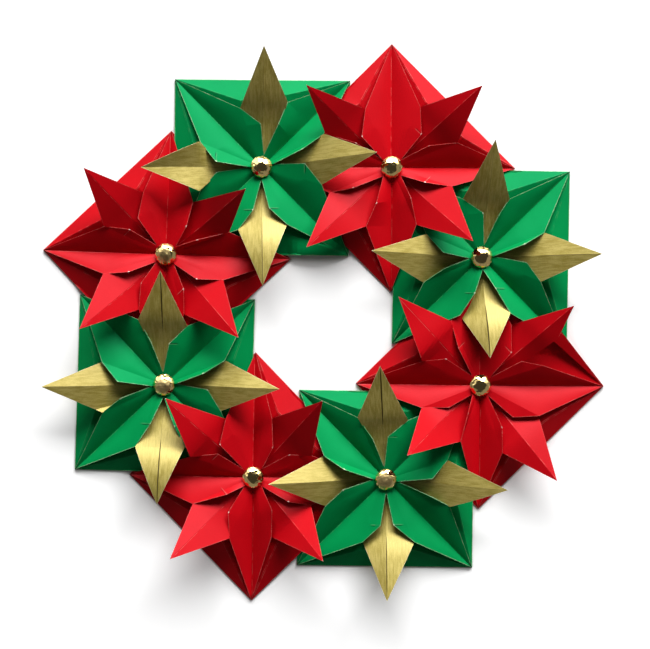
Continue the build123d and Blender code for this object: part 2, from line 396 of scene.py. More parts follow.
# Height of a side petal's ridge: it rises in a hollow curve to the shoulders and eases into the
# slope that leads to the lifted tip
def ridgeHeight(petal, middle, reach):
    rise = petal["ridge"] - fold["rootHeight"]
    if reach < petal["bend"]:
        return fold["rootHeight"] + rise * (max(reach, 0) / petal["bend"]) ** fold["rootHollow"]
    past = reach - petal["bend"]
    length = measured(petal["tip"], middle, petal["axis"])[0] - petal["bend"]
    first = rise * fold["rootHollow"] / petal["bend"]
    ease = fold["bendEase"]
    eased = ease * (1 - math.exp(-length / ease))
    last = (petal["tip"].z - petal["ridge"] - first * eased) / (length - eased)
    curl = petal["curl"] * math.sin(math.pi * min(past / length, 1))
    return petal["ridge"] + last * past + (first - last) * ease * (1 - math.exp(-past / ease)) + curl


# A long kite whose halves fall off on both sides of its crease
def addSidePetal(sheets, petal, middle, slot):
    axis = petal["axis"]
    bend = petal["turnedUp"]
    steps = fold["petalSteps"]
    notchReach = sum(measured(petal["notch"][side], middle, axis)[0] for side in (1, -1)) / 2
    tip = raised(petal["tip"], 0)
    stations = [middle + polar(reach, axis) for reach in (0, notchReach, petal["bend"])]
    centre = spans(stations + [tip], steps)
    edges = {}
    for side in (1, -1):
        notch = petal["notch"][side] + polar(side * fold["hiddenMargin"], axis + 90)
        edges[side] = spans([middle, notch, petal["shoulder"][side], tip], steps)
    rows = []
    for index, spine in enumerate(centre):
        row = []
        past = index / (len(centre) - 1) - fold["gapeStart"]
        gape = petal["gape"] * math.sin(math.pi * max(0, past) / (1 - fold["gapeStart"])) ** 0.5
        for side in (1, -1):
            edge = edges[side][index]
            half = (edge - spine).length
            slit = min(fold["widestSlit"], gape / max(half, 0.01)) or fold["slitColumn"]
            shares = [0, slit, *fold["petalColumns"]]
            if bend:
                before, after = [lineDistance(end, *bend["line"]) for end in (spine, edge)]
                if before < 0 < after:  # the last column but one is put on the bend
                    shift = before / (before - after) / shares[-2]
                    shares = [share * shift for share in shares[:-1]] + [1]
            line = []
            for share in shares:
                point = mixed(spine, edge, share)
                reach, lateral = measured(point, middle, axis)
                fall = petal["hang"][side] * abs(lateral) / petal["halfWidth"]
                if fall < 0:
                    begun = (reach / petal["bend"] - fold["upturnStart"]) / (1 - fold["upturnStart"])
                    fall *= max(0, min(1, begun))
                height = ridgeHeight(petal, middle, reach) - fall
                if share == 0:
                    height -= gape * fold["gapeDepth"]
                if bend:
                    height += bend["slope"] * max(0, lineDistance(point, *bend["line"]))
                free = segmentDistance(point, petal["shoulder"][side], tip)
                wear = (
                    free if index > steps[0] + steps[1] else far,
                    half * share * side,
                    raised(point - tip, 0).length,
                )
                line.append((raised(point, height), wear, (gape, far, far)))
            row.append(line)
        rows.append(row[0][::-1] + row[1][1:])
    addGrid(sheets, rows, slot)


# Two wings that meet in a valley along the square's diagonal. A fold runs from the middle to each
# shoulder where the notch stands far enough outside it.
def addCornerPetal(sheets, corner, petals, middle, turn, slot):
    tucked = corner == tuckedCorner
    axis = corner + turn
    reach = fold["tuckedReach"] if tucked else fold["cornerReach"]
    tipHeight = fold["tuckedTipHeight"] if tucked else fold["cornerTipHeight"]
    shoulderHeight = fold["tuckedShoulderHeight"] if tucked else fold["shoulderHeight"]
    notchHeight = fold["tuckedNotchHeight"] if tucked else fold["notchHeight"]
    tip = raised(middle + polar(reach, axis), tipHeight)
    start = raised(middle, fold["middleHeight"])
    steps = fold["cornerSteps"]
    wings = {}
    for side, name in zip((1, -1), cornerBetween[corner]):
        petal = petals[name]
        notch = raised(petal["notch"][-side], notchHeight + petal["stand"][-side])
        shoulder = raised(petal["wingShoulder"][-side], shoulderHeight)
        wings[side] = (petal, notch, shoulder)
    shares = []
    for part in (1, 2):
        reaches = [measured(wings[side][part], middle, axis)[0] for side in (1, -1)]
        shares.append(sum(reaches) / 2 / reach)
    crease = spans([start, mixed(start, tip, shares[0]), mixed(start, tip, shares[1]), tip], steps)
    for side in (1, -1):
        petal, notch, shoulder = wings[side]
        outward = polar(1, petal["straight"])
        away = polar(-side, petal["straight"] + 90)
        mouth = raised(petal["mouth"], mixed(start, notch, fold["mouthReach"] / (notch - start).length).z)
        edge = spans([mouth, notch, shoulder, tip], steps)
        folded = lineDistance(notch, start, shoulder) * side > fold["leastFold"]
        ridge = edge
        if folded:
            turned = mixed(start, shoulder, (notch - start).length / (shoulder - start).length)
            ridge = spans([start, raised(turned, turned.z + fold["foldRise"]), shoulder, tip], steps)
        parts = [(crease, ridge, fold["wingColumns"])]
        if folded:
            parts.append((ridge, edge, fold["facetColumns"]))
        for low, high, columns in parts:
            rows = []
            for index in range(len(edge)):
                line = []
                swell = fold["creaseSag"] * math.sin(math.pi * index / (len(edge) - 1))
                for column in range(columns + 1):
                    share = column / columns
                    point = mixed(low[index], high[index], share)
                    if low is crease:
                        point.z += swell * math.sin(math.pi * share)
                    free = min(
                        segmentDistance(point, mouth, notch),
                        segmentDistance(point, notch, shoulder),
                        segmentDistance(point, shoulder, tip),
                    )
                    crossing = lineDistance(point, start, tip)
                    offset = raised(point - notch, 0)
                    marked = -side in petal["creased"]
                    mark = (
                        offset.dot(outward) if marked else far,
                        offset.dot(away) if marked else far,
                        raised(point - tip, 0).length,
                    )
                    line.append((point, (free, crossing, offset.length), mark))
                rows.append(line)
            addGrid(sheets, rows, slot)


# The slope between one side of the square and the petals, with its pleat. Beside the tucked corner
# it steps up on to the flower underneath.
def addStrip(sheets, name, petals, middle, turn, arch, slot):
    axis = sideAngle[name] + turn
    petal = petals[name]
    half = fold["squareHalf"]
    tuckedSide = {"outer": 0, "left": 1, "inner": -1}[name]  # the end beside the tucked corner

    def place(reach, lateral, height):
        stepUp = strip["tuckLift"] * (half + tuckedSide * lateral) / (2 * half) if tuckedSide else 0
        return raised(middle + polar(reach, axis) + polar(lateral, axis + 90), height + stepUp)

    def arched(point):
        reach, lateral = measured(point, middle, axis)
        inward = max(0, min(1, (half - reach) / layers["archDepth"]))
        crown = max(0, 1 - ((lateral - layers["archMiddle"]) / layers["archHalf"]) ** 4)
        return raised(point, point.z + arch * crown * (1 - inward * inward * (3 - 2 * inward)))

    ends = {side: half - (strip["tuckedTrim"] if side == tuckedSide else 0) for side in (1, -1)}
    shoulders = {side: measured(petal["shoulder"][side], middle, axis) for side in (1, -1)}
    low = strip["edgeHeight"]
    rails = []
    for outward, height in (
        (None, low),  # along the side of the square
        (strip["foldOutward"], strip["foldHeight"]),
        (-strip["innerInward"], strip["innerHeight"]),
    ):
        stations = [place(half, ends[1], low)]
        for side in (1, -1):
            reach, lateral = shoulders[side]
            stations.append(place(half if outward is None else reach + outward, lateral, height))
        stations.append(place(half, -ends[-1], low))
        rails.append(spans(stations, strip["steps"]))
    side, pleat, inside = rails
    rows = []
    for start, end, count in ((side, pleat, strip["slopeRows"]), (pleat, inside, strip["pleatRows"])):
        for index in range(count + (end is inside)):
            share = index / count
            row = []
            for first, last in zip(start, end):
                width = raised(last - first, 0).length
                toSide = width * share if start is side else far
                toPleat = width * (1 - share if start is side else share)
                row.append((arched(mixed(first, last, share)), (toSide, toPleat, far), (far, far, far)))
            rows.append(row)
    addGrid(sheets, rows, slot)


def addObject(name, data):
    piece = bpy.data.objects.new(name, data)
    bpy.context.scene.collection.objects.link(piece)
    return piece


# Keeps one number or one vector for every point of a mesh, from a flat list
def storeMap(mesh, title, values):
    single = len(values) == len(mesh.vertices)
    kind, field = ("FLOAT", "value") if single else ("FLOAT_VECTOR", "vector")
    mesh.attributes.new(title, kind, "POINT").data.foreach_set(field, values)


def meshFromSheets(name, sheets, materials):
    mesh = bpy.data.meshes.new(name)
    mesh.from_pydata(sheets["points"], [], sheets["faces"])
    for material in materials:
        mesh.materials.append(material)
    mesh.polygons.foreach_set("material_index", sheets["slots"])
    for kind in ("wear", "mark"):
        storeMap(mesh, kind + "Map", [number for entry in sheets[kind] for number in entry])
    mesh.update()
    return addObject(name, mesh)


# Turns every face of an open sheet so that it looks upwards
def faceUp(mesh):
    for polygon in mesh.polygons:
        if polygon.normal.z < 0:
            polygon.flip()
    mesh.update()


def shadeSmooth(piece, sharpAngle):
    piece.data.shade_smooth()
    piece.data.set_sharp_from_angle(angle=math.radians(sharpAngle))


# Swaps a piece's mesh for what its modifiers make of it
def settle(piece):
    graph = bpy.context.evaluated_depsgraph_get()
    graph.update()
    mesh = bpy.data.meshes.new_from_object(piece.evaluated_get(graph), depsgraph=graph)
    piece.modifiers.clear()
    old = piece.data
    piece.data = mesh
    bpy.data.meshes.remove(old)


# Node trees

def newTree(title, kind, inputs, outputs):
    tree = bpy.data.node_groups.new(title, kind)
    for name, socket in inputs:
        tree.interface.new_socket(name=name, in_out="INPUT", socket_type="NodeSocket" + socket)
    for name, socket in outputs:
        tree.interface.new_socket(name=name, in_out="OUTPUT", socket_type="NodeSocket" + socket)
    return tree, tree.nodes.new("NodeGroupInput"), tree.nodes.new("NodeGroupOutput")


# Adds a node, sets its properties, and feeds its inputs with numbers or with other sockets
def addNode(tree, kind, values=None, **settings):
    node = tree.nodes.new(kind)
    for name, value in settings.items():
        setattr(node, name, value)
    for name, value in (values or {}).items():
        if isinstance(value, bpy.types.NodeSocket):
            tree.links.new(value, node.inputs[name])
        else:
            node.inputs[name].default_value = value
    return node


def maths(tree, operation, *values):
    return addNode(tree, "ShaderNodeMath", dict(enumerate(values)), operation=operation).outputs[0]


def product(tree, first, *others):
    for other in others:
        first = maths(tree, "MULTIPLY", first, other)
    return first


def vector(tree, **parts):
    return addNode(tree, "ShaderNodeCombineXYZ", parts).outputs[0]


def ramp(tree, value, low, high, start=0.0, end=1.0):
    values = {"Value": value, "From Min": low, "From Max": high, "To Min": start, "To Max": end}
    return addNode(tree, "ShaderNodeMapRange", values, interpolation_type="SMOOTHSTEP").outputs["Result"]


# 1 up to low, and from there down to 0 at high
def fading(tree, value, low, high):
    return ramp(tree, value, low, high, 1.0, 0.0)


def noise(tree, place, scale, detail, roughness=0.5):
    values = {"Vector": place, "Scale": scale, "Detail": detail, "Roughness": roughness}
    return addNode(tree, "ShaderNodeTexNoise", values).outputs["Fac"]


# Goes from under to over as share goes from 0 to 1
def blendedColour(tree, share, under, over):
    return addNode(tree, "ShaderNodeMix", {0: share, 6: under, 7: over}, data_type="RGBA").outputs[2]


def blendedValue(tree, share, under, over):
    return addNode(tree, "ShaderNodeMix", {0: share, 2: under, 3: over}, data_type="FLOAT").outputs[0]


def setInput(modifier, name, value):
    for item in modifier.node_group.interface.items_tree:
        if item.name == name and item.in_out == "INPUT":
            modifier[item.identifier] = value


# "rampStart" in the settings is the input "Ramp Start"
def inputName(key):
    return "".join(" " + letter if letter.isupper() else letter for letter in key).title()


# Pressed layers: one square sheet, repeated in a stack that steps up at the tucked corner, bulges
# over the prongs underneath and arches off the table along one side
def layersTree():
    inputs = [("Geometry", "Geometry"), ("Arch", "Float"), ("Turn Jitter", "Float")]
    inputs += [(inputName(key), "Float") for key in layers]
    inputs += [("Steps", "Int"), ("Count", "Int"), ("Seed", "Int"), ("Paper", "Material")]
    tree, given, result = newTree("pressedLayers", "GeometryNodeTree", inputs, [("Geometry", "Geometry")])
    value = given.outputs
    sheet = addNode(tree, "GeometryNodeMeshGrid", {
        "Size X": value["Side"],
        "Size Y": value["Side"],
        "Vertices X": value["Steps"],
        "Vertices Y": value["Steps"],
    })
    pile = addNode(tree, "GeometryNodeMeshLine", {
        "Count": value["Count"],
        "Offset": vector(tree, Z=value["Spacing"]),
    })
    jitter = addNode(tree, "FunctionNodeRandomValue", {
        2: product(tree, value["Turn Jitter"], -1.0),
        3: value["Turn Jitter"],
        "Seed": value["Seed"],
    }, data_type="FLOAT")
    spread = addNode(tree, "GeometryNodeInstanceOnPoints", {
        "Points": pile.outputs[0],
        "Instance": sheet.outputs["Mesh"],
        "Rotation": vector(tree, Z=jitter.outputs[1]),
    })
    real = addNode(tree, "GeometryNodeRealizeInstances", {"Geometry": spread.outputs[0]})

    place = addNode(tree, "GeometryNodeInputPosition").outputs[0]
    x, y = addNode(tree, "ShaderNodeSeparateXYZ", {0: place}).outputs[:2]
    diagonal = math.sqrt(0.5)
    toCorner = product(tree, maths(tree, "ADD", x, y), -diagonal)
    past = maths(tree, "MAXIMUM", maths(tree, "SUBTRACT", toCorner, value["Blunt Reach"]), 0.0)
    back = product(tree, past, diagonal)
    blunted = addNode(tree, "GeometryNodeSetPosition", {
        "Geometry": real.outputs[0],
        "Offset": vector(tree, X=back, Y=back),
    })

    step = ramp(tree, toCorner, value["Ramp Start"], value["Ramp End"], 0.0, value["Ramp Rise"])
    widthEnd = maths(tree, "ADD", value["Bulge Half Width"], value["Bulge Slope"])
    lengthEnd = maths(tree, "ADD", value["Bulge Half Length"], value["Bulge Slope"])
    across = fading(tree, maths(tree, "ABSOLUTE", x), value["Bulge Half Width"], widthEnd)
    along = fading(tree, maths(tree, "ABSOLUTE", y), value["Bulge Half Length"], lengthEnd)
    bulge = product(tree, across, along, value["Bulge Rise"])
    halfSide = product(tree, value["Side"], 0.5)
    aside = maths(tree, "DIVIDE", maths(tree, "SUBTRACT", x, value["Arch Middle"]), value["Arch Half"])
    flat = maths(tree, "POWER", maths(tree, "ABSOLUTE", aside), 4.0)
    crown = maths(tree, "MAXIMUM", maths(tree, "SUBTRACT", 1.0, flat), 0.0)
    inward = maths(tree, "ADD", y, halfSide)
    arch = product(tree, crown, ramp(tree, inward, 0.0, value["Arch Depth"], value["Arch"], 0.0))
    lifted = maths(tree, "ADD", maths(tree, "ADD", step, bulge), arch)
    shaped = addNode(tree, "GeometryNodeSetPosition", {
        "Geometry": blunted.outputs[0],
        "Offset": vector(tree, Z=lifted),
    })

    outermost = maths(tree, "MAXIMUM", maths(tree, "ABSOLUTE", x), maths(tree, "ABSOLUTE", y))
    toEdge = maths(tree, "DIVIDE", maths(tree, "SUBTRACT", halfSide, outermost), mm)
    sheets = shaped.outputs[0]
    for title, entry in (("wearMap", vector(tree, X=toEdge, Y=far, Z=far)), ("markMap", (far, far, far))):
        stored = addNode(tree, "GeometryNodeStoreNamedAttribute", {
            "Geometry": sheets,
            "Name": title,
            "Value": entry,
        }, data_type="FLOAT_VECTOR", domain="POINT")
        sheets = stored.outputs[0]

    thick = addNode(tree, "GeometryNodeExtrudeMesh", {
        "Mesh": sheets,
        "Offset": vector(tree, Z=value["Thickness"]),
        "Individual": False,
    }, mode="FACES")
    under = addNode(tree, "GeometryNodeFlipFaces", {0: sheets})
    both = addNode(tree, "GeometryNodeJoinGeometry")
    tree.links.new(thick.outputs["Mesh"], both.inputs[0])
    tree.links.new(under.outputs[0], both.inputs[0])
    closed = addNode(tree, "GeometryNodeMergeByDistance", {
        "Geometry": both.outputs[0],
        "Distance": 0.001 * mm,
    })
    painted = addNode(tree, "GeometryNodeSetMaterial", {
        "Geometry": closed.outputs[0],
        "Material": value["Paper"],
    })
    tree.links.new(painted.outputs[0], result.inputs[0])
    return tree


# Fastener heads: one head on every point, leaning as the point says
def headsTree():
    inputs = [("Geometry", "Geometry"), ("Head", "Object"), ("Brass", "Material")]
    tree, given, result = newTree("fastenerHeads", "GeometryNodeTree", inputs, [("Geometry", "Geometry")])
    value = given.outputs
    one = addNode(tree, "GeometryNodeObjectInfo", {"Object": value["Head"], "As Instance": True})
    lean = addNode(tree, "GeometryNodeInputNamedAttribute", {"Name": "lean"}, data_type="FLOAT_VECTOR")
    spread = addNode(tree, "GeometryNodeInstanceOnPoints", {
        "Points": value["Geometry"],
        "Instance": one.outputs["Geometry"],
        "Rotation": lean.outputs[0],
    })
    real = addNode(tree, "GeometryNodeRealizeInstances", {"Geometry": spread.outputs[0]})
    painted = addNode(tree, "GeometryNodeSetMaterial", {
        "Geometry": real.outputs[0],
        "Material": value["Brass"],
    })
    tree.links.new(painted.outputs[0], result.inputs[0])
    return tree


# Shader effects that the papers share: worn edges and spots, and painted shade and painted highlights
# along creases, crease marks, slits and corner tips. Noise scales are per metre, and distances are
# millimetres, as in the maps.

wearAndPaintedLightSizes = {
    "patchScale": 420.0,
    "fineScale": 2600.0,
    "spotScale": 130.0,
    "breaks": (0.42, 0.6),  # where a noise starts and ends, and the mask's strength there
    "edgeBreaks": (0.0, 1.0, 0.45, 1.0),
    "roughness": (0.3, 0.62, 0.35, 1.0),
    "unevenSpots": (0.45, 0.6, 0.1, 1.0),
    "patchyMarks": (0.36, 0.5, 0.25, 1.0),
    "glintPlace": 0.2,  # how far the painted highlight line lies beside the crease
    "markPlace": 0.14,  # and the painted shade line and the painted highlight line of a mark beside its middle
    "markWidth": (0.06, 0.2),
    # painted shade at the corner tips fades out over this reach
    "tipReach": (0.3, 2.2),
    "widestGape": 2.0,
}


wearAndPaintedLightInputs = ("Line Width", "Crease Width", "Spot Size", "Mark Length")


def wearAndPaintedLightGroup():
    sizes = [(name, "Float") for name in wearAndPaintedLightInputs]
    masks = [(name, "Float") for name in ("Edge", "Crease", "Glint", "Spot", "Mark", "Shine", "Tip", "Slit")]
    tree, given, result = newTree("paperWearAndPaintedLight", "ShaderNodeTree", sizes, masks)
    value = given.outputs
    maps = {}
    for name in ("wearMap", "markMap"):
        source = addNode(tree, "ShaderNodeAttribute", attribute_name=name).outputs["Vector"]
        maps[name] = addNode(tree, "ShaderNodeSeparateXYZ", {0: source}).outputs
    toEdge, fromCrease, toPoint = maps["wearMap"]
    alongMark, acrossMark, toTip = maps["markMap"]
    place = addNode(tree, "ShaderNodeTexCoord").outputs["Object"]
    patchy = noise(tree, place, wearAndPaintedLightSizes["patchScale"], 3.0)
    breaks = ramp(tree, patchy, *wearAndPaintedLightSizes["breaks"])
    rough = ramp(tree, noise(tree, place, wearAndPaintedLightSizes["fineScale"], 2.0), *wearAndPaintedLightSizes["roughness"])
    found = {}

    edgeLine = fading(tree, toEdge, 0.0, value["Line Width"])
    found["Edge"] = product(tree, edgeLine, rough, ramp(tree, breaks, *wearAndPaintedLightSizes["edgeBreaks"]))
    across = maths(tree, "ABSOLUTE", fromCrease)
    # painted shade: a dark line along the middle of each crease and pleat
    found["Crease"] = product(tree, fading(tree, across, 0.0, value["Crease Width"]), rough)
    # painted highlight: a light line on one side of the crease
    beside = maths(tree, "ABSOLUTE", maths(tree, "SUBTRACT", fromCrease, wearAndPaintedLightSizes["glintPlace"]))
    found["Glint"] = product(tree, fading(tree, beside, 0.0, value["Crease Width"]), breaks)

    dot = fading(tree, toPoint, product(tree, value["Spot Size"], 0.4), value["Spot Size"])
    uneven = noise(tree, place, wearAndPaintedLightSizes["spotScale"], 1.0)
    found["Spot"] = product(tree, dot, ramp(tree, uneven, *wearAndPaintedLightSizes["unevenSpots"]))
    markEnd = maths(tree, "ABSOLUTE", acrossMark)
    length = fading(tree, markEnd, product(tree, value["Mark Length"], 0.6), value["Mark Length"])
    patchyLength = product(tree, length, ramp(tree, patchy, *wearAndPaintedLightSizes["patchyMarks"]))
    # a crease mark at a notch: Mark is a painted shade line and Shine a painted highlight line on the two
    # sides of its middle
    for name, shift in (("Mark", -wearAndPaintedLightSizes["markPlace"]), ("Shine", wearAndPaintedLightSizes["markPlace"])):
        aside = maths(tree, "ABSOLUTE", maths(tree, "ADD", alongMark, shift))
        found[name] = product(tree, fading(tree, aside, *wearAndPaintedLightSizes["markWidth"]), patchyLength)
    # painted shade at the corner tips, where the stacked layers lie in shadow
    found["Tip"] = fading(tree, toTip, *wearAndPaintedLightSizes["tipReach"])

    gape = alongMark  # side petals keep the width of their slit there
    gaping = maths(tree, "LESS_THAN", gape, wearAndPaintedLightSizes["widestGape"])
    # painted shade inside the gaping crease of a side petal
    found["Slit"] = product(tree, fading(tree, across, product(tree, gape, 0.5), gape), gaping)
    for name, mask in found.items():
        tree.links.new(mask, result.inputs[name])
    return tree


fibreSizes = {
    "grainTone": (0.3, 0.7, -0.5, 0.5),
    "cloudScale": 60.0,
    "cloudTone": (0.3, 0.7, -1.0, 1.0),
}


def fibreGroup():
    inputs = [("Scale", "Float"), ("Mottle", "Float")]
    outputs = [("Tone", "Float"), ("Height", "Float")]
    tree, given, result = newTree("paperFibre", "ShaderNodeTree", inputs, outputs)
    place = addNode(tree, "ShaderNodeTexCoord").outputs["Object"]
    grain = noise(tree, place, given.outputs["Scale"], 4.0, 0.6)
    cloud = noise(tree, place, fibreSizes["cloudScale"], 3.0)
    grainTone = ramp(tree, grain, *fibreSizes["grainTone"])
    tone = maths(tree, "ADD", grainTone, ramp(tree, cloud, *fibreSizes["cloudTone"]))
    tree.links.new(maths(tree, "MULTIPLY_ADD", tone, given.outputs["Mottle"], 1.0), result.inputs["Tone"])
    tree.links.new(grain, result.inputs["Height"])
    return tree


# Brushed streaks that follow each petal, from its own distances to the crease and to the tip
brushed = {
    "drift": (40.0, 60.0, 0.0),  # sets one petal's streaks apart from the next one's
    "streakShare": 0.6,
    "cloudScale": 130.0,
    "cloudShare": 0.22,
    "grainScale": 3400.0,
    "grainShare": 0.18,
    "contrast": (0.38, 0.62),
}


def brushGroup():
    inputs = [("Stretch", "Float"), ("Scale", "Float")]
    outputs = [("Streak", "Float"), ("Height", "Float")]
    tree, given, result = newTree("foilBrush", "ShaderNodeTree", inputs, outputs)
    place = addNode(tree, "ShaderNodeTexCoord").outputs["Object"]
    source = addNode(tree, "ShaderNodeAttribute", attribute_name="wearMap").outputs["Vector"]
    fromCrease, toTip = addNode(tree, "ShaderNodeSeparateXYZ", {0: source}).outputs[1:]
    drift = addNode(tree, "ShaderNodeVectorMath", {0: place, 1: brushed["drift"]}, operation="DOT_PRODUCT")
    stretched = maths(tree, "DIVIDE", toTip, given.outputs["Stretch"])
    run = vector(tree, X=fromCrease, Y=stretched, Z=drift.outputs["Value"])
    streak = noise(tree, run, given.outputs["Scale"], 4.0, 0.65)
    cloud = noise(tree, place, brushed["cloudScale"], 3.0)
    grain = noise(tree, place, brushed["grainScale"], 2.0)
    mixture = product(tree, streak, brushed["streakShare"])
    mixture = maths(tree, "MULTIPLY_ADD", cloud, brushed["cloudShare"], mixture)
    mixture = maths(tree, "MULTIPLY_ADD", grain, brushed["grainShare"], mixture)
    tree.links.new(ramp(tree, mixture, *brushed["contrast"]), result.inputs["Streak"])
    tree.links.new(streak, result.inputs["Height"])
    return tree


wearAndPaintedLightTree = wearAndPaintedLightGroup()
fibreTree = fibreGroup()
brushTree = brushGroup()


# Materials

def newMaterial(name, **constants):
    material = bpy.data.materials.new(name)
    material.use_nodes = True
    shader = material.node_tree.nodes["Principled BSDF"]
    for title, value in constants.items():
        shader.inputs[title.replace("_", " ")].default_value = value
    return material, material.node_tree, shader


def addBump(tree, shader, strength, distance, height):
    bump = addNode(tree, "ShaderNodeBump", {"Strength": strength, "Distance": distance, "Height": height})
    tree.links.new(bump.outputs[0], shader.inputs["Normal"])


# Lays the worn places, the painted shade and the painted highlights over a colour, each with the
# share and the colour that its look gives
def wornAndPaintedLightColour(tree, look, colour, places):
    sizes = {title: look[title] for title in wearAndPaintedLightInputs}
    masks = addNode(tree, "ShaderNodeGroup", sizes, node_tree=wearAndPaintedLightTree)
    for place, paint in places:
        share = product(tree, masks.outputs[place.title()], look[place + "Share"])
        colour = blendedColour(tree, share, colour, look[paint + "Colour"])
    return colour


def paperMaterial(name, look):
    material, tree, shader = newMaterial(
        name,
        Roughness=look["roughness"],
        Specular_IOR_Level=look["specular"],
        Specular_Tint=look["sheenTint"],
    )
    grain = {"Scale": look["fibreScale"], "Mottle": look["mottle"]}
    fibre = addNode(tree, "ShaderNodeGroup", grain, node_tree=fibreTree)
    tone = fibre.outputs["Tone"]
    shade = addNode(tree, "ShaderNodeHueSaturation", {"Color": look["colour"], "Value": tone})
    # worn edges and spots, painted shade in creases, crease marks and at corner tips, and painted highlights
    # as glint and shine
    colour = wornAndPaintedLightColour(tree, look, shade.outputs[0], (
        ("crease", "crease"), ("glint", "edge"), ("mark", "mark"), ("shine", "edge"),
        ("edge", "edge"), ("spot", "spot"), ("tip", "tip"),
    ))
    tree.links.new(colour, shader.inputs["Base Color"])
    addBump(tree, shader, look["bump"], look["fibreDepth"], fibre.outputs["Height"])
    return material


def foilMaterial(name, look):
    material, tree, shader = newMaterial(
        name,
        Metallic=look["metallic"],
        Specular_IOR_Level=look["specular"],
    )
    grain = {"Stretch": look["stretch"], "Scale": look["streakScale"]}
    brush = addNode(tree, "ShaderNodeGroup", grain, node_tree=brushTree)
    streak = brush.outputs["Streak"]
    colour = blendedColour(tree, streak, look["darkColour"], look["lightColour"])
    # painted shade in creases and slits, and pale foil edges that are partly wear and partly painted
    # highlight
    colour = wornAndPaintedLightColour(tree, look, colour, (
        ("crease", "crease"), ("edge", "edge"), ("spot", "spot"), ("slit", "slit"),
    ))
    tree.links.new(colour, shader.inputs["Base Color"])
    dull = ramp(tree, streak, 0.0, 1.0, *look["roughness"])
    tree.links.new(dull, shader.inputs["Roughness"])
    addBump(tree, shader, look["bump"], look["streakDepth"], brush.outputs["Height"])
    return material


# Polished and dented, with a stained cap on the domes that have lost their shine
def brassMaterial(name, look):
    material, tree, shader = newMaterial(name, Metallic=1.0)
    place = addNode(tree, "ShaderNodeTexCoord").outputs["Object"]
    stain = noise(tree, place, look["stainScale"], 4.0)
    cap = addNode(tree, "ShaderNodeAttribute", attribute_name="capMap").outputs["Fac"]
    dullness = addNode(tree, "ShaderNodeAttribute", attribute_name="dullness").outputs["Fac"]
    inCap = fading(tree, cap, *look["capEdge"])
    worn = product(tree, inCap, dullness, ramp(tree, stain, *look["stainShare"]))
    polish = ramp(tree, stain, *look["polish"])
    tree.links.new(blendedValue(tree, worn, polish, look["dullRoughness"]), shader.inputs["Roughness"])
    colour = blendedColour(tree, worn, look["colour"], look["dullColour"])
    tree.links.new(colour, shader.inputs["Base Color"])
    addBump(tree, shader, 1.0, look["dentDepth"], noise(tree, place, look["dentScale"], 1.0))
    return material


redLook = {
    "colour": (0.5, 0.0008, 0.005, 1), "roughness": 0.5, "specular": 0.16, "sheenTint": (1.0, 0.62, 0.7, 1),
    "fibreScale": 3200.0, "fibreDepth": 0.00005, "mottle": 0.05, "bump": 0.25,
    "Line Width": 0.18, "Crease Width": 0.1, "Spot Size": 0.45, "Mark Length": 3.0,
    # creaseColour is painted shade in the creases, and glintShare sets the painted highlight beside them
    "creaseColour": (0.16, 0.0005, 0.001, 1), "creaseShare": 0.45, "glintShare": 0.3,
    # markColour is the painted shade line of a crease mark, and shineShare sets its painted highlight line
    "markColour": (0.12, 0.001, 0.002, 1), "markShare": 0.5, "shineShare": 0.2,
    # edgeColour paints the pale worn edges and is also the colour of the painted highlights, glint and shine
    "edgeColour": (0.85, 0.3, 0.26, 1), "edgeShare": 0.42,
    "spotColour": (0.95, 0.75, 0.68, 1), "spotShare": 0.8,
    # tipColour is painted shade at the corner tips
    "tipColour": (0.05, 0.002, 0.002, 1), "tipShare": 0.7,
}
greenLook = {
    "colour": (0.0006, 0.24, 0.06, 1), "roughness": 0.5, "specular": 0.16, "sheenTint": (0.15, 1.0, 0.7, 1),
    "fibreScale": 3200.0, "fibreDepth": 0.00005, "mottle": 0.06, "bump": 0.25,
    "Line Width": 0.22, "Crease Width": 0.1, "Spot Size": 0.5, "Mark Length": 3.4,
    # creaseColour is painted shade in the creases, and glintShare sets the painted highlight beside them
    "creaseColour": (0.002, 0.09, 0.02, 1), "creaseShare": 0.45, "glintShare": 0.12,
    # markColour is the painted shade line of a crease mark, and shineShare sets its painted highlight line
    "markColour": (0.002, 0.03, 0.01, 1), "markShare": 0.9, "shineShare": 0.12,
    # edgeColour paints the pale worn edges and is also the colour of the painted highlights, glint and shine
    "edgeColour": (0.4, 0.62, 0.36, 1), "edgeShare": 0.85,
    "spotColour": (0.75, 0.85, 0.6, 1), "spotShare": 0.7,
    # tipColour is painted shade at the corner tips
    "tipColour": (0.002, 0.03, 0.01, 1), "tipShare": 0.8,
}
goldLook = {
    "metallic": 0.25, "specular": 0.6,
    "darkColour": (0.34, 0.265, 0.04, 1), "lightColour": (0.52, 0.42, 0.115, 1),
    "stretch": 8.0, "streakScale": 2.0, "streakDepth": 0.00004, "bump": 0.4, "roughness": (0.5, 0.62),
    "Line Width": 0.2, "Crease Width": 0.14, "Spot Size": 0.6, "Mark Length": 1.0,
    # creaseColour is painted shade in the foil's creases
    "creaseColour": (0.12, 0.09, 0.02, 1), "creaseShare": 0.4,
    # the pale foil edge lines are partly rubbed foil and partly a painted highlight along the edges
    "edgeColour": (0.85, 0.76, 0.5, 1), "edgeShare": 0.8,
    "spotColour": (0.9, 0.85, 0.7, 1), "spotShare": 0.6,
    # slitColour is painted shade in the gaping crease
    "slitColour": (0.05, 0.035, 0.01, 1), "slitShare": 0.85,
}
brassLook = {
    "colour": (0.8, 0.61, 0.25, 1),
    "dullColour": (0.5, 0.38, 0.17, 1), "dullRoughness": 0.5,
    "stainScale": 700.0, "stainShare": (0.3, 0.5, 0.7, 1.0), "capEdge": (0.55, 0.8),
    "polish": (0.3, 0.75, 0.07, 0.18),
    "dentScale": 650.0, "dentDepth": 0.00035,
}

